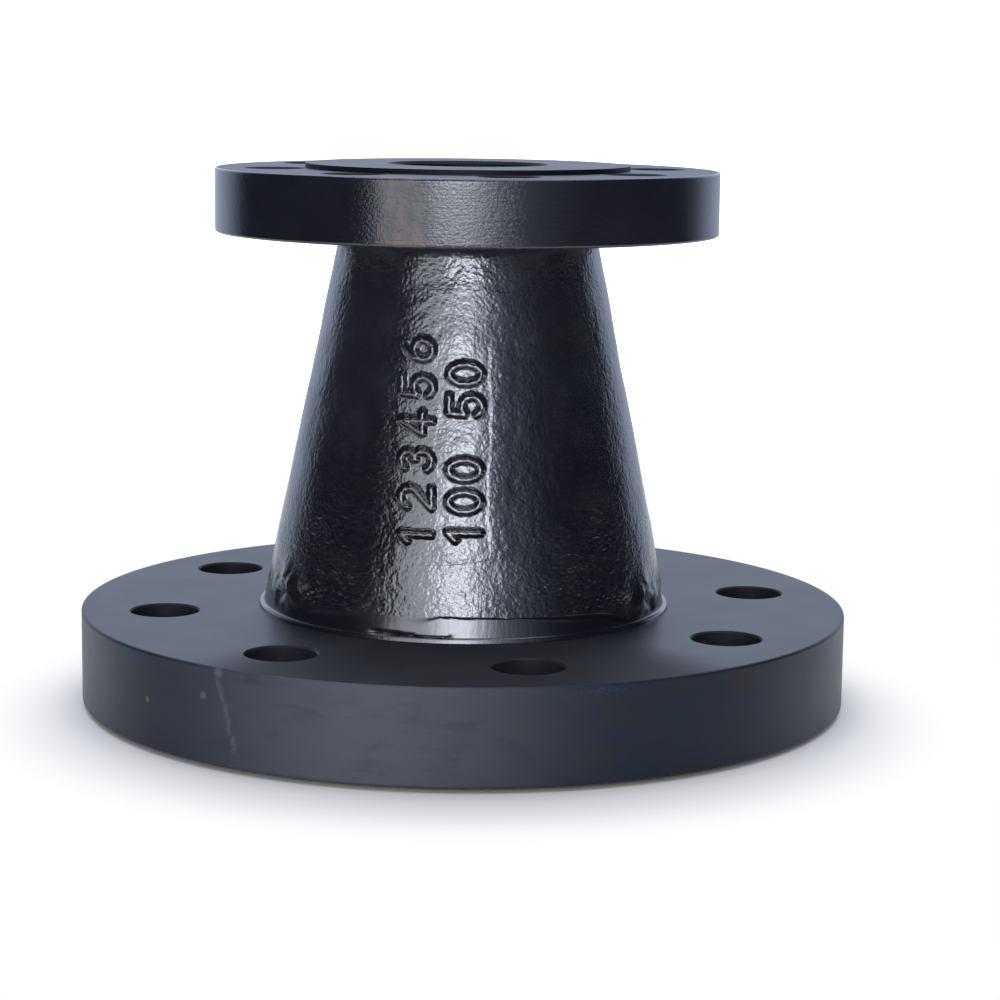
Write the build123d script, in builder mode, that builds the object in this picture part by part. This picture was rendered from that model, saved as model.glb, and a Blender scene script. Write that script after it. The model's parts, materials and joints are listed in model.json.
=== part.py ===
"""Flanged concentric reducer: a cast iron pipe fitting, nominal bore 4 in down to 2 in.

It is one casting. A conical body of even wall joins a large flange to a small one on
the same axis, and both flanges are machined and drilled for the heavier of the two
common patterns. The large flange is at the bottom, facing down. The origin is the
centre of its raised face and +Z runs up the bore to the small flange. The bolt holes
straddle the X and Y axes at both ends. Sizes are in millimetres.
"""

import os
from math import atan2, cos

from build123d import *

# Whole fitting, measured over both raised faces
face_to_face = 177.8

# Large flange
large_flange_d = 254.0
large_flange_t = 31.75  # with its raised face
large_raised_face_d = 176.2
large_bore_d = 101.6
large_bolt_circle_d = 200.0
large_bolt_hole_d = 22.2
large_bolt_count = 8

# Small flange
small_flange_d = 165.1
small_flange_t = 22.35  # with its raised face
small_raised_face_d = 106.4
small_bore_d = 50.8
small_bolt_circle_d = 127.0
small_bolt_hole_d = 19.05
small_bolt_count = 8

# Both flanges
raised_face_h = 1.6
edge_break = 0.8  # rounded rims
hole_chamfer = 0.5
bore_mouth_chamfer = 1.0

# Conical body
body_wall = 15.9  # square to the cone
foot_step_h = 0.8  # low ring left round the foot when the flange's back is faced
foot_ring_w = 2.0  # how far the ring stands out from the cone
foot_fillet_r = 2.0  # between the cone and the top of the ring
neck_fillet_r = 4.0
bore_blend_r = 20.0  # cored blend between each straight bore and the cone

# Heights of the faces
large_back_z = large_flange_t
small_back_z = face_to_face - small_flange_t
small_rim_top_z = face_to_face - raised_face_h

# The cored cone runs between the flange backs, and the outside lies one wall away
large_bore_r = large_bore_d / 2
small_bore_r = small_bore_d / 2
half_angle = atan2(large_bore_r - small_bore_r, small_back_z - large_back_z)
wall_across = body_wall / cos(half_angle)


def bore_radius(z):
    """Radius of the cored cone at height z."""
    rise = (z - large_back_z) / (small_back_z - large_back_z)
    return large_bore_r + (small_bore_r - large_bore_r) * rise


def body_radius(z):
    """Outside radius of the cone at height z."""
    return bore_radius(z) + wall_across


foot_step_z = large_back_z + foot_step_h
foot_r = body_radius(foot_step_z)


def rings(part, radius, low_z, high_z):
    """The circular edges of one radius whose height lies between two levels."""
    circles = part.edges().filter_by(GeomType.CIRCLE)
    return circles.filter_by(
        lambda edge: abs(edge.radius - radius) < 1e-3
        and low_z - 1e-3 < edge.center().Z < high_z + 1e-3
    )


def drill_flange(face_z, flange_t, bolt_circle_d, hole_d, count):
    """Bolt holes from a gasket face right through its flange, straddling X and Y."""
    with Locations((0, 0, face_z)):
        with PolarLocations(bolt_circle_d / 2, count, start_angle=180 / count):
            Hole(hole_d / 2, depth=flange_t)


with BuildPart() as reducer:
    # Outside: raised face, rim, faced back, foot ring, cone, small flange
    with BuildSketch(Plane.XZ):
        with BuildLine():
            Polyline(
                (0, 0),
                (large_raised_face_d / 2, 0),
                (large_raised_face_d / 2, raised_face_h),
                (large_flange_d / 2, raised_face_h),
                (large_flange_d / 2, large_back_z),
                (foot_r + foot_ring_w, large_back_z),
                (foot_r + foot_ring_w, foot_step_z),
                (foot_r, foot_step_z),
                (body_radius(small_back_z), small_back_z),
                (small_flange_d / 2, small_back_z),
                (small_flange_d / 2, small_rim_top_z),
                (small_raised_face_d / 2, small_rim_top_z),
                (small_raised_face_d / 2, face_to_face),
                (0, face_to_face),
                close=True,
            )
        make_face()
    revolve(axis=Axis.Z)

    # Water way: a straight bore through each flange and the cored cone between
    with BuildSketch(Plane.XZ):
        with BuildLine():
            FilletPolyline(
                (large_bore_r, 0),
                (large_bore_r, large_back_z),
                (small_bore_r, small_back_z),
                (small_bore_r, face_to_face),
                radius=bore_blend_r,
            )
            Polyline(
                (small_bore_r, face_to_face),
                (0, face_to_face),
                (0, 0),
                (large_bore_r, 0),
            )
        make_face()
    revolve(axis=Axis.Z, mode=Mode.SUBTRACT)

    drill_flange(0, large_flange_t, large_bolt_circle_d, large_bolt_hole_d, large_bolt_count)
    drill_flange(
        face_to_face, small_flange_t, small_bolt_circle_d, small_bolt_hole_d, small_bolt_count
    )

    # Corners that the mould left where the cone meets the foot ring and the small flange
    fillet(rings(reducer, foot_r, foot_step_z, foot_step_z), foot_fillet_r)
    fillet(rings(reducer, body_radius(small_back_z), small_back_z, small_back_z), neck_fillet_r)

    # Rims with their edges broken, hole and bore mouths chamfered
    fillet(rings(reducer, large_flange_d / 2, raised_face_h, large_back_z), edge_break)
    fillet(rings(reducer, small_flange_d / 2, small_back_z, small_rim_top_z), edge_break)
    chamfer(rings(reducer, large_bolt_hole_d / 2, raised_face_h, large_back_z), hole_chamfer)
    chamfer(rings(reducer, small_bolt_hole_d / 2, small_back_z, small_rim_top_z), hole_chamfer)
    chamfer(rings(reducer, large_bore_r, 0, 0), bore_mouth_chamfer)
    chamfer(rings(reducer, small_bore_r, face_to_face, face_to_face), bore_mouth_chamfer)

reducer.part.label = "reducer_casting"

os.makedirs("parts", exist_ok=True)
export_step(reducer.part, "parts/reducer_casting.step")
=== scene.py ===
import json

import bmesh
import bpy
import numpy as np
from mathutils import Matrix, Vector


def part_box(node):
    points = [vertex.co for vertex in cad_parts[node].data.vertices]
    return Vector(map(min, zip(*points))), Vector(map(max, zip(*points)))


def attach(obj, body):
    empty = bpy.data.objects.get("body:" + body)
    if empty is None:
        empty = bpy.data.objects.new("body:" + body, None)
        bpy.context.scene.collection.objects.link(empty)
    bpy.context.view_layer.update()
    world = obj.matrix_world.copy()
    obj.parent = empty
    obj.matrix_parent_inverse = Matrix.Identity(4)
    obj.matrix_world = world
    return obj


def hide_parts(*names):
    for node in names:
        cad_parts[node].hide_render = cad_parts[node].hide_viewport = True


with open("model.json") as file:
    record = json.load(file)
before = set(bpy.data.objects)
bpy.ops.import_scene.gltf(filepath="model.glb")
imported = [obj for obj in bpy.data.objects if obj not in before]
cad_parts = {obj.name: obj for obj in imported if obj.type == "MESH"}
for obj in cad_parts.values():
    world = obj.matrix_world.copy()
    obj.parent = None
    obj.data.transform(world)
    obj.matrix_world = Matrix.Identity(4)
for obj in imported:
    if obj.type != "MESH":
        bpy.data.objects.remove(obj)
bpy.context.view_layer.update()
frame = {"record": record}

MM = 0.001


# The casting. A tapered body of even wall joins two flanges. The body and the water way keep
# the skin of the sand mould. The flanges are turned on a lathe, faced and drilled, and the
# facing tool leaves a low ring and a clean band at the foot of the body.
mounts = {mount["name"]: mount for mount in frame["record"]["mounts"]}
large_rim_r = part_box("reducer_casting")[1].x / MM
face_to_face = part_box("reducer_casting")[1].z / MM
large_bore_r = mounts["large_bore"]["dims"]["r_mm"]
small_bore_r = mounts["small_bore"]["dims"]["r_mm"]
large_bolts = mounts["large_bolt_circle"]["dims"]
small_bolts = mounts["small_bolt_circle"]["dims"]
large_flange_t = 31.75
small_flange_t = 22.35
small_rim_r = 82.55
large_raised_face_r = 88.1
small_raised_face_r = 53.2
raised_face_h = 1.6
body_wall = 15.9
foot_step_h = 1.1
foot_ring_w = 1.7
foot_ring_lean = 0.26  # how far the ring's side leans in
foot_fillet_r = 0.8
foot_band_h = 7.7
neck_fillet_r = 4.0
edge_break = 0.8
hole_chamfer = 0.5
mouth_chamfer = 1.0

small_back_z = face_to_face - small_flange_t
small_rim_top_z = face_to_face - raised_face_h
taper = (large_bore_r - small_bore_r) / (small_back_z - large_flange_t)
half_angle = np.arctan(taper)
wall_across = body_wall / np.cos(half_angle)

columns = 384  # quads round the axis, a multiple of the number of bolts
side_steps = 12  # quads along each side of a bolt hole's sector
hole_columns = 2 * (columns // 8 + side_steps)
view_degrees = -78.75  # plan angle of the side that faces the camera


def body_r(z):
    """Outside radius of the cone: the cored cone's radius plus the wall measured across."""
    return large_bore_r - taper * (z - large_flange_t) + wall_across


def line(start, end, step):
    """Points (radius, height) from start to end, evenly spaced, at most step apart."""
    start, end = np.array(start, float), np.array(end, float)
    count = max(1, int(np.ceil(np.linalg.norm(end - start) / step)))
    share = np.linspace(0, 1, count + 1)[:, None]
    return start * (1 - share) + end * share


def arc(centre, radius, first_degrees, last_degrees, pieces):
    """Points (radius, height) round a centre: centre + radius (cos turn, sin turn)."""
    turn = np.radians(np.linspace(first_degrees, last_degrees, pieces + 1))
    return np.array(centre) + radius * np.stack([np.cos(turn), np.sin(turn)], 1)


def chain(*stretches):
    """Stretches of a profile end to end, with the points that repeat left out."""
    points = np.concatenate(stretches)
    apart = np.linalg.norm(np.diff(points, axis=0), axis=1) > 1e-4
    return points[np.concatenate([[True], apart])]


def turned(radius, height):
    """The surface that a profile sweeps round Z. radius and height are grids of rows up the
    profile by columns round the axis: x = radius cos(turn), y = radius sin(turn)."""
    radius, height, turn = np.broadcast_arrays(radius, height, column_turns())
    return np.stack([radius * np.cos(turn), radius * np.sin(turn), height], 2)


def column_turns():
    """The plan angle of each column, from the X axis."""
    return np.arange(columns) * 2 * np.pi / columns


def away_from(turn, degrees):
    """Turns from a plan angle, the short way round, between -pi and pi."""
    return (turn - np.radians(degrees) + np.pi) % (2 * np.pi) - np.pi


def ramp(value):
    """0 below 0, 1 above 1, and 3 v^2 - 2 v^3 between."""
    held = np.clip(value, 0, 1)
    return held * held * (3 - 2 * held)


# The mould's skin: long swells where the sand moved, shorter ones where it was rammed.
random = np.random.default_rng(7)
mean_body_r = 55.0
waves = 26
swells = []
for wave_mm, height_mm in ((34, 0.07), (15, 0.03), (8, 0.012), (4.5, 0.008)):
    way = random.uniform(0, np.pi, waves)
    swells.append((
        np.round(2 * np.pi * mean_body_r / wave_mm * np.cos(way)),
        2 * np.pi / wave_mm * np.sin(way),
        random.uniform(0, 2 * np.pi, waves),
        height_mm / np.sqrt(waves / 2),
    ))


def mould_skin(turn, z):
    """How far the cast skin stands off the cone: for each length of wave, a sum of waves that
    run round and up the body in random directions, height cos(m turn + q z + phase)."""
    rise = np.zeros(np.broadcast(turn, z).shape)
    for rounds, climbs, phases, height in swells:
        for m, q, phase in zip(rounds, climbs, phases):
            rise += height * np.cos(m * turn + q * z + phase)
    return rise


def lump(turn, z, degrees, at_z, size, height):
    """A soft lump or pit on the skin, height exp(-(distance / size) squared)."""
    across = away_from(turn, degrees) * body_r(at_z)
    return height * np.exp(-(across**2 + (z - at_z) ** 2) / size**2)


flash = (  # degrees from the camera's side, z, size and height of the rough lumps of flash
    (52, 45, 3.4, 0.35), (57, 37.5, 3.0, 0.55), (60.5, 43, 2.0, 0.6), (62, 39.6, 1.4, -0.7),
    (64.5, 46, 3.2, 0.6), (66, 41.5, 1.3, 0.45), (67.5, 36.8, 2.4, 0.6), (69, 42.8, 1.5, -0.6),
    (72, 39, 3.2, 0.5), (55.5, 41, 1.5, -0.3), (75, 45, 2.2, 0.3), (63, 35.6, 1.6, 0.35),
    (59.5, 41, 3.4, 1.3), (58.5, 41.8, 1.3, -1.0), (64, 44.2, 1.5, 0.8), (69.5, 40, 3.6, 0.8),
)
skin_over = 0.35  # the cast skin is a little over size
skin_shift = 0.4  # and the mould sat off centre, to the camera's right
seam_h = 0.12
neck_swell = 0.8  # how far the body swells out in front, just under the small flange
neck_swell_low = 14  # how far below the fillet it begins


def skin_r(turn, z):
    """Radius of the cast body: the cone, the mould's skin, a swelling under the small flange,
    a low seam where the two halves of the mould met, and the flash at the foot of it."""
    shift = skin_shift * np.cos(away_from(turn, view_degrees + 90))
    rise = skin_over + shift + mould_skin(turn, z)
    up = np.clip((z - small_back_z + neck_fillet_r + neck_swell_low) / neck_swell_low, 0, 1)
    rise = rise + neck_swell * up**2 * np.exp(-(away_from(turn, view_degrees) ** 2) / 0.5)
    for side in (-1, 1):
        seam = away_from(turn, view_degrees + side * 88) * mean_body_r
        rise = rise + seam_h * np.exp(-((seam / 1.8) ** 2))
        for degrees, at_z, size, height in flash:
            at = view_degrees + side * degrees
            rise = rise + lump(turn, z + 0.8 * side, at, at_z, size, height)
    return body_r(z) + rise


foot_step_z = large_flange_t + foot_step_h
foot_band_z = large_flange_t + foot_band_h
foot_r = body_r(foot_step_z)
foot_ring_r = foot_r + foot_ring_w
foot_tangent = foot_fillet_r / np.tan((np.pi / 2 + half_angle) / 2)
foot_fillet = arc(
    (foot_r + foot_tangent, foot_step_z + foot_fillet_r), foot_fillet_r,
    270, 180 + np.degrees(half_angle), 8,
)
neck_r = body_r(small_back_z)
neck_out_r = neck_r + neck_fillet_r
neck_z = small_back_z - neck_fillet_r
foot_crack_z = 33.4
ring_narrowing = 1.15  # the ring is narrower in front, where the paint has filled its corner

body_profile = chain(
    [(foot_ring_r, large_flange_t)],
    line((foot_ring_r - 0.01, large_flange_t + 0.02),
         (foot_ring_r - foot_ring_lean, foot_step_z - 0.15), 0.3),
    line((foot_ring_r - foot_ring_lean - 0.15, foot_step_z), foot_fillet[0], 0.6),
    foot_fillet,
    line(foot_fillet[-1], (body_r(foot_band_z - 0.8), foot_band_z - 0.8), 0.7),
    line((body_r(foot_band_z - 0.7), foot_band_z - 0.7),
         (body_r(foot_band_z + 0.5), foot_band_z + 0.5), 0.24),
    line((body_r(foot_band_z + 0.8), foot_band_z + 0.8), (body_r(neck_z), neck_z), 1.8),
    arc((neck_out_r, neck_z), neck_fillet_r, 180, 90, 7),
)
profile_r, profile_z = body_profile[:, :1], body_profile[:, 1:]
turn = column_turns()[None, :]
cast_r = skin_r(turn, profile_z)
rough = ramp((profile_z - foot_fillet[-1, 1]) / 1.5)
rough = rough * ramp((small_back_z - profile_z) / neck_fillet_r)
body_grid_r = profile_r + (cast_r - profile_r) * rough

# The tool cuts the band wherever the skin stands proud of it, and its upper edge wavers.
band_top = foot_band_z + 0.25 * np.sin(3 * turn + 1) + 0.12 * np.sin(11 * turn)
flash_side = np.exp(-((np.abs(away_from(turn, view_degrees)) - 1.1) / 0.25) ** 2)
band_top = band_top - 9 * flash_side
from_view = np.degrees(away_from(turn, view_degrees))
band_edge = 0.2 + 3 * ramp((-6 - from_view) / 6) * ramp((from_view + 50) / 12)
band_edge = band_edge + 2 * ramp((from_view - 12) / 22) * ramp((60 - from_view) / 12)
in_band = ramp((band_top - profile_z) / band_edge)
cut_r = np.minimum(body_grid_r, profile_r)
body_grid_r = body_grid_r + (cut_r - body_grid_r) * in_band
narrowing = ring_narrowing * ramp((from_view + 50) / 18) * ramp((62 - from_view) / 20)
ring_limit = foot_ring_r - foot_ring_lean * np.clip((profile_z - large_flange_t) / 0.95, 0, 1.6)
ring_limit = np.where(profile_z < foot_step_z + foot_fillet_r, ring_limit - narrowing, 1e3)
over = np.clip(body_grid_r - ring_limit, 0, None)
over[0] = 0
body_grid_r = body_grid_r - 0.97 * over
foot_crack = ramp((from_view + 27) / 3) * ramp((-2.5 - from_view) / 3)
foot_crack = foot_crack * (0.8 + 0.2 * np.sin(0.9 * from_view + np.sin(0.37 * from_view)))
crack_climb = ramp((-2.5 - from_view) / 24)
crack_z = foot_crack_z + 0.45 * crack_climb
crack_w = 0.28 + 0.22 * crack_climb
band_crack = ramp((from_view + 9) / 4) * ramp((13 - from_view) / 7)
body_grid_r = body_grid_r - 0.9 * foot_crack * np.exp(-(((profile_z - crack_z) / crack_w) ** 2))
body_grid_r = body_grid_r - 0.2 * band_crack * np.exp(-(((profile_z - band_top) / 0.25) ** 2))

large_face_profile = line((large_raised_face_r, 0), (large_bore_r + mouth_chamfer, 0), 9)
bore_profile = chain(
    line((large_bore_r + mouth_chamfer, 0), (large_bore_r, mouth_chamfer), 2),
    line((large_bore_r, mouth_chamfer + 0.4), (large_bore_r, large_flange_t - 4), 9),
    line((large_bore_r, large_flange_t), (small_bore_r, small_back_z), 7),
    line((small_bore_r, small_back_z + 4), (small_bore_r, face_to_face - mouth_chamfer - 0.4), 7),
    line((small_bore_r, face_to_face - mouth_chamfer),
         (small_bore_r + mouth_chamfer, face_to_face), 2),
)
small_face_profile = line(
    (small_bore_r + mouth_chamfer, face_to_face), (small_raised_face_r, face_to_face), 9
)


def rim(radius, low_z, high_z):
    """A turned rim with both its edges broken."""
    inside = radius - edge_break
    profile = chain(
        arc((inside, low_z + edge_break), edge_break, -90, 0, 4),
        line((radius, low_z + edge_break + 0.3), (radius, high_z - edge_break - 0.3), 5),
        arc((inside, high_z - edge_break), edge_break, 0, 90, 4),
    )
    return turned(profile[:, :1], profile[:, 1:])


def sector_outline(inner_r, outer_r, count):
    """The outline of the sector round one bolt hole, once round: out along one side, back
    along the outer arc, in along the other side, and back along the inner arc."""
    half = np.pi / count
    sweep = np.linspace(-half, half, columns // count + 1)
    side = np.linspace(inner_r, outer_r, side_steps + 1)
    turn = [np.full(side_steps, -half), sweep[:-1], np.full(side_steps, half), sweep[:0:-1]]
    radius = [side[:-1], np.full(len(sweep) - 1, outer_r), side[:0:-1],
              np.full(len(sweep) - 1, inner_r)]
    turn, radius = np.concatenate(turn), np.concatenate(radius)
    return np.stack([radius * np.cos(turn), radius * np.sin(turn)], 1)


def hole_circle(centre_r, radius, count):
    """As many points round a bolt hole as its sector's outline has, evenly spaced, from the
    direction of the sector's inner corner."""
    first = -np.pi + np.pi * (columns // count) / hole_columns
    turn = first + np.arange(hole_columns) * 2 * np.pi / hole_columns
    return np.stack([centre_r + radius * np.cos(turn), radius * np.sin(turn)], 1)


def round_the_axis(patch, count):
    """One patch of (rows, columns, xyz) repeated at every bolt hole, which straddle X and Y."""
    turn = (np.arange(count) + 0.5) * 2 * np.pi / count
    cos, sin = np.cos(turn)[:, None, None], np.sin(turn)[:, None, None]
    x = patch[..., 0] * cos - patch[..., 1] * sin
    y = patch[..., 0] * sin + patch[..., 1] * cos
    return list(np.stack([x, y, np.broadcast_to(patch[..., 2], x.shape)], 3))


def drilled_face(height, inner_r, outer_r, bolts):
    """A flat ring with its bolt holes. Between a hole's edge and its sector's outline, a point
    is (1 - across) hole + across outline, with the rows close together at both."""
    across = np.array([0, 0.03, 0.12, 0.35, 0.68, 0.93, 1])[:, None, None]
    hole = hole_circle(bolts["pcd_mm"] / 2, bolts["hole_r_mm"] + hole_chamfer, bolts["count"])
    outline = sector_outline(inner_r, outer_r, bolts["count"])
    flat = hole * (1 - across) + outline * across
    patch = np.concatenate([flat, np.full(flat.shape[:2] + (1,), height)], 2)
    return round_the_axis(patch, bolts["count"])


def hole_walls(low_z, high_z, bolts):
    """The walls of the bolt holes: a circle at each height, wider by the chamfer at the ends."""
    radius = bolts["hole_r_mm"] + np.array([hole_chamfer, 0, 0, 0, hole_chamfer])
    middle_z = (low_z + high_z) / 2
    height = np.array([low_z, low_z + hole_chamfer, middle_z, high_z - hole_chamfer, high_z])
    rings = [hole_circle(bolts["pcd_mm"] / 2, r, bolts["count"]) for r in radius]
    heights = np.broadcast_to(height[:, None, None], (len(height), hole_columns, 1))
    return round_the_axis(np.concatenate([np.array(rings), heights], 2), bolts["count"])


def add_grid(verts, faces, zones, patch, zone, closed=True):
    """Adds a grid of points to a mesh in the making, with a quad between each four."""
    rows, across = patch.shape[:2]
    first = sum(len(block) for block in verts)
    number = first + np.arange(rows * across).reshape(rows, across)
    if closed:
        number = np.concatenate([number, number[:, :1]], 1)
    quads = np.stack([number[:-1, :-1], number[:-1, 1:], number[1:, 1:], number[1:, :-1]], 2)
    verts.append(patch.reshape(-1, 3))
    faces += quads.reshape(-1, 4).tolist()
    zones += [zone] * ((rows - 1) * (number.shape[1] - 1))


def mesh_piece(name, verts, faces, zones):
    """A closed mesh object from grids in millimetres: doubles merged, faces turned outwards,
    and edges sharper than 40 degrees left sharp."""
    mesh = bpy.data.meshes.new(name)
    mesh.from_pydata(np.concatenate(verts) * MM, [], faces)
    mesh.polygons.foreach_set("material_index", np.array(zones, np.int32))
    work = bmesh.new()
    work.from_mesh(mesh)
    bmesh.ops.remove_doubles(work, verts=work.verts, dist=2e-6)
    bmesh.ops.recalc_face_normals(work, faces=work.faces)
    work.to_mesh(mesh)
    print(name, "open edges", sum(1 for e in work.edges if len(e.link_faces) != 2),
          "volume mm3", work.calc_volume() * 1e9,
          "triangles", sum(len(f.verts) - 2 for f in work.faces))
    work.free()
    mesh.shade_smooth()
    mesh.set_sharp_from_angle(angle=np.radians(40))
    piece = bpy.data.objects.new(name, mesh)
    bpy.context.scene.collection.objects.link(piece)
    return piece


SKIN, FOOT_BAND, LARGE_RIM, SMALL_RIM, FACED, INSIDE, DRILLED = range(7)
verts, faces, zones = [], [], []
band_rows = int(np.sum(body_profile[:, 1] < foot_band_z - 0.1))
body_grid = turned(body_grid_r, profile_z)
add_grid(verts, faces, zones, body_grid[: band_rows + 1], FOOT_BAND)
add_grid(verts, faces, zones, body_grid[band_rows:], SKIN)
for profile, zone in (
    (line((large_raised_face_r, raised_face_h), (large_raised_face_r, 0), 2), INSIDE),
    (large_face_profile, FACED),
    (bore_profile, INSIDE),
    (small_face_profile, FACED),
    (line((small_raised_face_r, face_to_face), (small_raised_face_r, small_rim_top_z), 2), INSIDE),
):
    add_grid(verts, faces, zones, turned(profile[:, :1], profile[:, 1:]), zone)
add_grid(verts, faces, zones, rim(large_rim_r, raised_face_h, large_flange_t), LARGE_RIM)
add_grid(verts, faces, zones, rim(small_rim_r, small_back_z, small_rim_top_z), SMALL_RIM)
for height, inner_r, outer_r, bolts in (
    (raised_face_h, large_raised_face_r, large_rim_r - edge_break, large_bolts),
    (large_flange_t, foot_ring_r, large_rim_r - edge_break, large_bolts),
    (small_back_z, neck_out_r, small_rim_r - edge_break, small_bolts),
    (small_rim_top_z, small_raised_face_r, small_rim_r - edge_break, small_bolts),
):
    for patch in drilled_face(height, inner_r, outer_r, bolts):
        add_grid(verts, faces, zones, patch, FACED)
for low_z, high_z, bolts in (
    (raised_face_h, large_flange_t, large_bolts),
    (small_back_z, small_rim_top_z, small_bolts),
):
    for patch in hole_walls(low_z, high_z, bolts):
        add_grid(verts, faces, zones, patch, DRILLED)

casting = mesh_piece("casting", verts, faces, zones)
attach(casting, "root")
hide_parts("reducer_casting")


# The paint. Semi-gloss black over everything, sprayed thin, so that the sand's grain, the
# tool's lines and the bare iron's marks show through it. Some colours also paint light: fill
# on the upper body, a sheen on the large rim and a tinted, glinting highlight on the small rim.
class Flow:
    """A value, colour or vector on its way through a material's nodes. Python's operators on
    values put down Math nodes, and node puts down any other."""

    def __init__(self, tree, socket=None):
        self.tree = tree
        self.socket = socket

    def node(self, kind, settings=(), inputs=(), out=0):
        """A node of that kind: its settings first, then a number, colour or Flow for each
        input, by name or place. Returns the Flow from its output."""
        made = self.tree.nodes.new(kind)
        for name, value in dict(settings).items():
            setattr(made, name, value)
        for name, value in dict(inputs).items():
            if isinstance(value, Flow):
                self.tree.links.new(value.socket, made.inputs[name])
            else:
                made.inputs[name].default_value = value
        return Flow(self.tree, made.outputs[out]) if len(made.outputs) else made

    def math(self, operation, first, second=0.0):
        return self.node("ShaderNodeMath", {"operation": operation}, {0: first, 1: second})

    def __add__(self, other):
        return self.math("ADD", self, other)

    __radd__ = __add__

    def __sub__(self, other):
        return self.math("SUBTRACT", self, other)

    def __rsub__(self, other):
        return self.math("SUBTRACT", other, self)

    def __mul__(self, other):
        return self.math("MULTIPLY", self, other)

    __rmul__ = __mul__

    def __truediv__(self, other):
        return self.math("DIVIDE", self, other)

    def __rtruediv__(self, other):
        return self.math("DIVIDE", other, self)

    def step(self, low, high):
        """Rises smoothly from 0 at low to 1 at high."""
        return self.node(
            "ShaderNodeMapRange", {"interpolation_type": "SMOOTHSTEP"},
            {"Value": self, "From Min": low, "From Max": high},
        )

    def mix(self, first, second):
        """A colour, first where this value is 0 and second where it is 1."""
        return self.node(
            "ShaderNodeMix", {"data_type": "RGBA"}, {0: self, 6: first, 7: second}, 2
        )

    def stretch(self, x, y, z):
        """This vector with each of its parts multiplied."""
        return self.node("ShaderNodeVectorMath", {"operation": "MULTIPLY"}, {0: self, 1: (x, y, z)})

    def noise(self, size, detail=2.0, roughness=0.5):
        """Noise on this vector, with features of about that size, from 0 to 1."""
        return self.node(
            "ShaderNodeTexNoise", (),
            {"Vector": self, "Scale": 1 / size, "Detail": detail, "Roughness": roughness},
        )

    def parts(self):
        """The x, y and z of this vector."""
        split = self.node("ShaderNodeSeparateXYZ", (), {0: self})
        return [Flow(self.tree, output) for output in split.socket.node.outputs]


def new_material(name):
    """An empty material. Returns it with a Flow of the Object coordinates in millimetres."""
    material = bpy.data.materials.new(name)
    material.use_nodes = True
    material.node_tree.nodes.clear()
    metres = Flow(material.node_tree).node("ShaderNodeTexCoord", (), (), "Object")
    return material, metres.stretch(1 / MM, 1 / MM, 1 / MM)


def round_and_up(place):
    """Degrees round the axis from the side that faces the camera, and the height."""
    x, y, z = place.parts()
    ahead_x, ahead_y = np.cos(np.radians(view_degrees)), np.sin(np.radians(view_degrees))
    degrees = place.math("ARCTAN2", y * ahead_x - x * ahead_y, x * ahead_x + y * ahead_y)
    return degrees * np.degrees(1), z


def window(value, low, high, soft):
    """1 between low and high, 0 outside, with soft edges."""
    return value.step(low - soft, low + soft) * (1 - value.step(high - soft, high + soft))


def finish_paint(place, colour, roughness, height_mm, ior=2.18):
    """The paint itself, with a relief given as a height in millimetres."""
    relief = place.node(
        "ShaderNodeBump", (), {"Strength": 1.0, "Distance": MM, "Height": height_mm}
    )
    paint = place.node(
        "ShaderNodeBsdfPrincipled", (),
        {"Base Color": colour, "Roughness": roughness, "IOR": ior, "Normal": relief},
    )
    place.node("ShaderNodeOutputMaterial", (), {"Surface": paint})


black = (0.004, 0.004, 0.0085, 1)
dusty = (0.009, 0.009, 0.014, 1)
brown = (0.085, 0.05, 0.04, 1)
# Pale dust. It also paints fill light on the upper body and a sheen on the large rim's front.
dust_and_painted_light = (0.077, 0.08, 0.097, 1)
hole_grey = (0.02, 0.02, 0.024, 1)
rust = (0.035, 0.02, 0.012, 1)
blue_black = (0.001, 0.008, 0.022, 1)
pale = (0.11, 0.105, 0.11, 1)
iron_and_glint = (0.33, 0.34, 0.37, 1)


def skin_paint():
    """Paint on the cast skin: fine orange peel over the sand's grain."""
    material, place = new_material("painted_skin")
    grain = place.noise(1.1, 1, 0.6)
    peel = place.noise(2.4, 1, 0.5)
    patches = place.noise(13, 3, 0.6)
    height = grain * 0.135 + peel * 0.18
    x, y, z = place.parts()
    colour = patches.step(0.5, 0.75).mix(black, dusty)
    # Dust in patches, lighter towards the top of the body: painted fill light on the upper body.
    colour = (z.step(70, 130) * (0.05 + 0.16 * patches)).mix(colour, dust_and_painted_light)
    colour = (place.noise(10, 2, 0.6).step(0.55, 0.7) * 0.18).mix(colour, rust)
    finish_paint(place, colour, 0.16 + 0.1 * patches, height)
    return material


def band_paint():
    """Paint on the foot band: smooth, with a few runs down it."""
    material, place = new_material("painted_foot_band")
    runs = place.stretch(1, 1, 0.12).noise(1.3, 2, 0.5)
    patches = place.noise(9, 2, 0.5)
    finish_paint(place, patches.step(0.5, 0.8).mix(black, dusty), 0.2 + 0.1 * patches, runs * 0.05)
    return material


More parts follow.
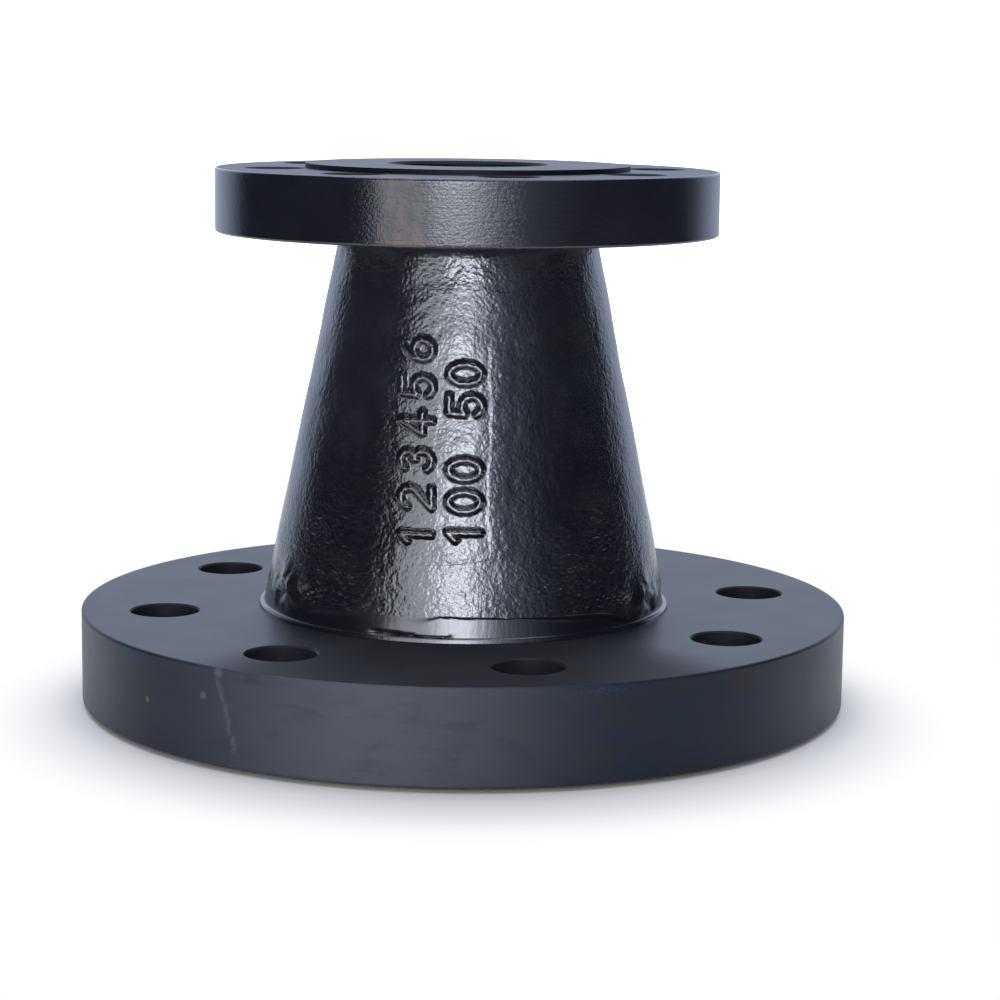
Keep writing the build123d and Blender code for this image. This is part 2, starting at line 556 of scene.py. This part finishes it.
def large_rim_paint():
    """Paint on the large rim: matte, over the tool's lines, with a scratch and a few chips."""
    material, place = new_material("painted_large_rim")
    degrees, z = round_and_up(place)
    lines = place.stretch(0.03, 0.03, 1).noise(0.6, 3, 0.6)
    pits = place.noise(1.0, 2, 0.6)
    patches = place.noise(17, 3, 0.6)
    streaks = place.stretch(0.35, 0.35, 1).noise(5, 3, 0.6)
    wander = (place.noise(5, 1, 0.5) - 0.5) * 1.2
    scratch = window(degrees + z * 0.125 + wander, -31.7, -31.1, 0.6) * window(z, 6, 29.5, 1.5)
    scratch = scratch * place.noise(2.6, 2, 0.6).step(0.3, 0.62)
    chips = scratch
    for mark_degrees, mark_z, size in ((-35, 30.4, 2.2), (-49.5, 16.9, 1.4), (-37.7, 22.6, 1.7)):
        across = (degrees - mark_degrees) * np.radians(large_rim_r)
        away = across * across + (z - mark_z) * (z - mark_z) + 2.5 * pits
        chips = chips.math("MAXIMUM", chips, 1 - away.step(1.0, 1.0 + size**2))
    scuffed = window(degrees, 16, 22, 3) * window(z, 28, 30.5, 0.8) * pits.step(0.5, 0.65)
    # Pale dust on the rim's front. It is partly a painted sheen where the soft box lights the rim.
    dust_and_sheen_mask = window(degrees, -32, 4, 20) * streaks.step(-0.1, 0.55)
    colour = (patches * streaks * 2).step(0.4, 0.75).mix(blue_black, dusty)
    colour = (dust_and_sheen_mask * 0.9).mix(colour, dust_and_painted_light)
    colour = (chips * 0.68).mix(colour, pale)
    colour = (scuffed * 0.08).mix(colour, iron_and_glint)
    height = lines * 0.035 + pits * 0.03 - chips * 0.05
    rough = 0.42 + 0.15 * window(degrees, -50, 42, 14) + 0.14 * (patches - 0.5)
    finish_paint(place, colour, rough, height, 1.43)
    return material


def small_rim_paint():
    """Paint on the small rim: glossier, rubbed through to brown and bare specks in front, which
    also paint a brown tint and glints into the highlight there.
    """
    material, place = new_material("painted_small_rim")
    degrees, z = round_and_up(place)
    lines = place.stretch(0.03, 0.03, 1).noise(0.5, 3, 0.6)
    pits = place.noise(0.9, 2, 0.6)
    patches = place.noise(15, 3, 0.6)
    blotches = place.stretch(1, 1, 0.5).noise(5, 3, 0.6)
    # The brown patch lies along the highlight's left edge. It is rubbed paint, and also a painted
    # brown tint of the reflection there.
    brown_wear_and_tint = window(degrees, -19, -8, 1.2) * blotches.step(0.35, 0.6)
    # Pale specks across the front. They are bare iron, and also painted glints in the highlight.
    bare_specks_and_glints = window(degrees, -8, 11, 3) * place.noise(0.7, 2, 0.7).step(0.5, 0.68)
    colour = (0.02 + 0.12 * patches).mix(black, dust_and_painted_light)
    colour = (brown_wear_and_tint * 0.8).mix(colour, brown)
    colour = (bare_specks_and_glints * 0.22).mix(colour, iron_and_glint)
    height = lines * 0.04 + pits * 0.08
    rough = 0.08 + 0.08 * patches + 0.1 * degrees.step(-12, 0)
    finish_paint(place, colour, rough, height, 1.76)
    return material


def faced_paint():
    """Paint on a faced surface: the tool's rings show through it."""
    material, place = new_material("painted_face")
    x, y, z = place.parts()
    away = place.math("SQRT", x * x + y * y)
    rings = place.node("ShaderNodeCombineXYZ", (), {0: x * 0.03, 1: y * 0.03, 2: away})
    patches = place.noise(18, 3, 0.6)
    height = rings.noise(0.8, 2, 0.5) * 0.02 + place.noise(2.0, 2, 0.5) * 0.02
    colour = patches.step(0.4, 0.75).mix(black, dusty)
    degrees = round_and_up(place)[0]
    rough = 0.38 + 0.1 * patches + 0.22 * window(degrees, -36, 36, 8) * (1 - z.step(60, 61))
    finish_paint(place, colour, rough, height, 1.6)
    return material


def inside_paint(name, base):
    """Thin paint with a little rust: in the bolt holes, in the water way and on the steps."""
    material, place = new_material(name)
    patches = place.noise(6, 3, 0.6)
    colour = (place.noise(3, 3, 0.7).step(0.6, 0.75) * 0.35).mix(base, brown)
    height = place.stretch(0.2, 0.2, 1).noise(0.7) * 0.03
    finish_paint(place, colour, 0.4 + 0.2 * patches, height, 1.3)
    return material


skin_material = skin_paint()
for material in (
    skin_material, band_paint(), large_rim_paint(), small_rim_paint(), faced_paint(),
    inside_paint("painted_inside", dusty), inside_paint("painted_hole", hole_grey),
):
    casting.data.materials.append(material)


# The numerals. Two rows of plain raised figures on a low plate, cast with the body, turned on
# their side and read upwards. On the pattern they were stuck on, so their edges are steep but
# never sharp.
figure_h = 9.9
figure_w = 5.9
stroke_top = 0.2  # half the stroke's width at its top and at its foot
stroke_foot = 1.85
figure_relief = 1.35
plate_relief = 0.08
plate_edge = 3.0
plate_shelf = 0.12  # the body's step up along the right of the figures
plate_step = 0.26
plate_left, plate_right = -24.5, 16.0  # round the body, from the side that faces the camera
plate_low_z, plate_high_z = 54.3, 142.0
plate_slant = 0.075  # how much the lower edge climbs to the right
skirt = 1.6  # how far the plate's border reaches into the body
skirt_depth = 0.7


def bow(centre, size, first_degrees, last_degrees, pieces=14):
    """A curved stroke: centre + (size along * cos turn, size up * sin turn)."""
    turn = np.radians(np.linspace(first_degrees, last_degrees, pieces + 1))
    return np.array(centre) + np.array(size) * np.stack([np.cos(turn), np.sin(turn)], 1)


half_w = figure_w / 2
bowl = 2.9
figures = {  # strokes through points (along the row, up from its foot)
    "0": [bow((0, figure_h / 2), (half_w, figure_h / 2), 0, 360, 28)],
    "1": [[(-1.9, figure_h - 2.3), (0.3, figure_h), (0.3, 0)]],
    "2": [bow((0, figure_h - half_w), (half_w, half_w), 165, -35),
          [(half_w * 0.82, figure_h - half_w * 1.57), (-half_w, 0), (half_w, 0)]],
    "3": [bow((0, figure_h - 2.35), (half_w - 0.2, 2.35), 150, -80),
          bow((0, bowl), (half_w, bowl), 80, -150)],
    "4": [[(0.9, 0), (0.9, figure_h), (-half_w, 3.1), (half_w + 0.3, 3.1)]],
    "5": [[(half_w, figure_h), (-half_w * 0.75, figure_h), (-half_w * 0.9, 5.3)],
          bow((-0.1, bowl), (half_w, bowl + 0.2), 135, -150)],
    "6": [bow((0, bowl), (half_w, bowl), 0, 360, 22),
          bow((half_w, bowl), (figure_w, figure_h - bowl), 180, 98)],
}
rows = (  # the figures, where the row's foot lies round the body, its first z and its pitch
    ("123456", -10.3, 64.6, 11.4),
    ("100 50", 4.8, 65.4, 9.8),
)


def distance_to(strokes, along, up):
    """Distance of each point from the nearest stroke: for each straight piece, the point's
    shadow on the piece is held between its ends, and the distance is measured from there."""
    nearest = np.full(np.broadcast(along, up).shape, np.inf)
    for stroke in strokes:
        for (x0, y0), (x1, y1) in zip(stroke[:-1], stroke[1:]):
            run_x, run_y = x1 - x0, y1 - y0
            share = ((along - x0) * run_x + (up - y0) * run_y) / (run_x**2 + run_y**2)
            share = np.clip(share, 0, 1)
            nearest = np.minimum(
                nearest, np.hypot(along - x0 - share * run_x, up - y0 - share * run_y)
            )
    return nearest


across = np.arange(plate_left - skirt, plate_right + skirt, plate_step)[None, :]
plate_z = np.arange(plate_low_z - 2 * skirt, plate_high_z + skirt, plate_step)[:, None]
low_edge = plate_low_z + plate_slant * (across + 10) + 0.25 * np.sin(across / 2.7)
inside = np.minimum.reduce(np.broadcast_arrays(
    across - plate_left, plate_right - across, plate_z - low_edge, plate_high_z - plate_z
))
rise = plate_relief * ramp(inside / plate_edge) - skirt_depth * ramp(-inside / skirt)
shelf = ramp((across - 7 - 0.4 * np.sin(plate_z / 7) - 0.2 * np.sin(plate_z / 2.3)) / 1.1) * ramp((plate_right - across) / 7)
rise = rise + plate_shelf * shelf * ramp((plate_z - plate_low_z) / 8) * ramp((126 - plate_z) / 8)
low_crack = ramp((across + 16) / 3) * ramp((8 - across) / 3)
rise = rise - 0.3 * low_crack * np.exp(-(((plate_z - low_edge - 0.5) / 0.3) ** 2))
for text, foot_across, first_z, pitch in rows:
    for place, figure in enumerate(text):
        if figure == " ":
            continue
        away = distance_to(
            figures[figure], plate_z - first_z - place * pitch, foot_across - across
        )
        away = away + 0.1 * np.sin(1.9 * plate_z + 2.3 * across + 5 * place)
        height = ramp((stroke_foot - away) / (stroke_foot - stroke_top))
        rise = np.maximum(rise, np.where(height > 0, plate_relief + figure_relief * height, rise))
plate_turn = np.radians(view_degrees) + across / body_r(plate_z)
plate_r = skin_r(plate_turn, plate_z) + rise
plate = np.stack([plate_r * np.cos(plate_turn), plate_r * np.sin(plate_turn),
                  np.broadcast_to(plate_z, plate_r.shape)], 2)

# The plate's back is a flat web inside the body's wall, from one side of it to the other.
verts, faces, zones = [], [], []
add_grid(verts, faces, zones, plate, 0, closed=False)
add_grid(verts, faces, zones, plate[::-1, [0, -1]], 0, closed=False)
number = np.arange(plate_r.size).reshape(plate_r.shape)
faces += [number[0].tolist(), number[-1].tolist()]
zones += [0, 0]
numerals = mesh_piece("raised_numerals", verts, faces, zones)
numerals.data.materials.append(skin_material)
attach(numerals, "root")


# The floor: a round sheet of white paper, larger than the picture shows.
floor_r = 0.62
shade_ahead = 18  # the shadow's middle, from the axis towards the camera
view_turn = np.radians(view_degrees)
floor_corners = 96
turn = np.arange(floor_corners) * 2 * np.pi / floor_corners
floor_mesh = bpy.data.meshes.new("floor")
floor_mesh.from_pydata(
    np.stack([floor_r * np.cos(turn), floor_r * np.sin(turn), 0 * turn], 1), [],
    [range(floor_corners)],
)
floor = bpy.data.objects.new("floor", floor_mesh)
bpy.context.scene.collection.objects.link(floor)
material, place = new_material("paper")
camera_ray = place.node("ShaderNodeLightPath", (), (), "Is Camera Ray")
from_middle = place.node(
    "ShaderNodeVectorMath", {"operation": "SUBTRACT"},
    {0: place, 1: (shade_ahead * np.cos(view_turn), shade_ahead * np.sin(view_turn), 0)},
)
away = place.node("ShaderNodeVectorMath", {"operation": "LENGTH"}, {0: from_middle}, "Value")
paper = place.node("ShaderNodeBsdfDiffuse", (), {"Color": (0.93, 0.87, 0.778, 1)})
white = place.node("ShaderNodeEmission", (), {"Color": (1, 1, 1, 1), "Strength": 1.0})
sheet = place.node(
    "ShaderNodeMixShader", (), {0: away.step(124, 163) * camera_ray, 1: paper, 2: white}
)
place.node("ShaderNodeOutputMaterial", (), {"Surface": sheet})
floor_mesh.materials.append(material)


# The lights. A tall soft box in front, a little to the left of the camera, with a brighter
# middle, a large soft one overhead, and a pale wall behind the fitting that only shows in its
# reflections.
daylight = (0.93, 0.97, 1.08)


def soft_light(name, bearing_degrees, distance, height, size, aim_z, strength, lean=0):
    """A rectangular light on a bearing from the side that faces the camera, positive to the
    camera's right, that faces a point on the axis. strength is its brightness, white 1, and
    lean tips its top over to the camera's left, in degrees."""
    bearing = view_turn + np.radians(bearing_degrees)
    place = Vector((distance * np.cos(bearing), distance * np.sin(bearing), height))
    data = bpy.data.lights.new(name, "AREA")
    data.shape = "RECTANGLE"
    data.size, data.size_y = size
    data.energy = 4 * strength * size[0] * size[1]
    data.color = daylight
    light = bpy.data.objects.new(name, data)
    to_axis = Vector((0, 0, aim_z)) - place
    facing = to_axis.to_track_quat("-Z", "Y").to_matrix().to_4x4()
    light.matrix_world = Matrix.Translation(place) @ facing @ Matrix.Rotation(
        np.radians(lean), 4, "Z"
    )
    light.visible_camera = False
    bpy.context.scene.collection.objects.link(light)


soft_light("soft_box", -13.5, 1.1, 0.31, (1.18, 0.62), 0.1, 1.45, 10)
soft_light("bright_strip", -4, 1.0, 0.22, (0.32, 0.42), 0.1, 1.05)
soft_light("low_glow", -4, 0.99, 0.26, (0.32, 0.14), 0.1, 4.2)
soft_light("high_glow", -4, 0.99, 0.50, (0.32, 0.12), 0.1, 0.5)
soft_light("overhead", 0, 0.05, 1.5, (1.6, 1.6), 0.0, 1.15)

glow_turn = np.radians(10)
glow_cos = np.cos(np.radians(14))
world = bpy.data.worlds.new("studio")
bpy.context.scene.world = world
world.use_nodes = True
world.node_tree.nodes.clear()
toward = Flow(world.node_tree).node("ShaderNodeTexCoord", (), (), "Generated")
camera_ray = toward.node("ShaderNodeLightPath", (), (), "Is Camera Ray")
path = camera_ray.socket.node.outputs
glossy = Flow(world.node_tree, path["Is Glossy Ray"])
seen = camera_ray.math("MAXIMUM", camera_ray, Flow(world.node_tree, path["Is Transmission Ray"]))
behind = toward.node(
    "ShaderNodeVectorMath", {"operation": "DOT_PRODUCT"},
    {0: toward, 1: (-np.cos(view_turn), -np.sin(view_turn), 0)}, "Value",
)
front_x, front_y = np.cos(view_turn + glow_turn), np.sin(view_turn + glow_turn)
front = toward.node(
    "ShaderNodeVectorMath", {"operation": "DOT_PRODUCT"},
    {0: toward, 1: (glow_cos * front_x, glow_cos * front_y, np.sqrt(1 - glow_cos**2))}, "Value",
)
front = front.math("POWER", front.math("MAXIMUM", front, 0), 9)
wall = 0.85 + 0.4 * toward.parts()[2].step(0, 0.15)
reflected = 0.02 + 0.55 * front + wall * behind.step(0.45, 0.8)
fill = 0.34 + 1.6 * behind.step(0, 0.7)
brightness = seen.math("MAXIMUM", seen, glossy * reflected + (1 - glossy) * fill)
tint = seen.mix((0.68, 0.79, 1.03, 1), (1, 1, 1, 1))
sky = toward.node("ShaderNodeBackground", (), {"Color": tint, "Strength": brightness})
sky.node("ShaderNodeOutputWorld", (), {"Surface": sky})


# The camera stands where the photograph's did, about 0.9 m off and a little above the small
# flange. The fitting's bolt holes straddle X and Y, so the camera is turned round it instead.
camera_turn = np.radians(view_degrees + 90)
camera_place = Vector((-0.00024, -0.8803, 0.20957))
camera_yaw = 0.0137
camera_dip = 0.1613
camera_roll = 0.0122
focal_in_pictures = 2.66805  # focal length as a share of the picture's width

ahead = Vector((
    np.sin(camera_yaw) * np.cos(camera_dip),
    np.cos(camera_yaw) * np.cos(camera_dip),
    -np.sin(camera_dip),
))
level_right = Vector((np.cos(camera_yaw), -np.sin(camera_yaw), 0))
level_up = level_right.cross(ahead)
right = level_right * np.cos(camera_roll) + level_up * np.sin(camera_roll)
up = right.cross(ahead)
camera_data = bpy.data.cameras.new("camera")
camera_data.sensor_width = 36
camera_data.lens = camera_data.sensor_width * focal_in_pictures
camera = bpy.data.objects.new("camera", camera_data)
facing = Matrix((right, up, -ahead)).transposed().to_4x4()
turn_round = Matrix.Rotation(camera_turn, 4, "Z")
camera.matrix_world = turn_round @ Matrix.Translation(camera_place) @ facing
bpy.context.scene.collection.objects.link(camera)
bpy.context.scene.camera = camera
bpy.context.scene.view_settings.view_transform = "Standard"
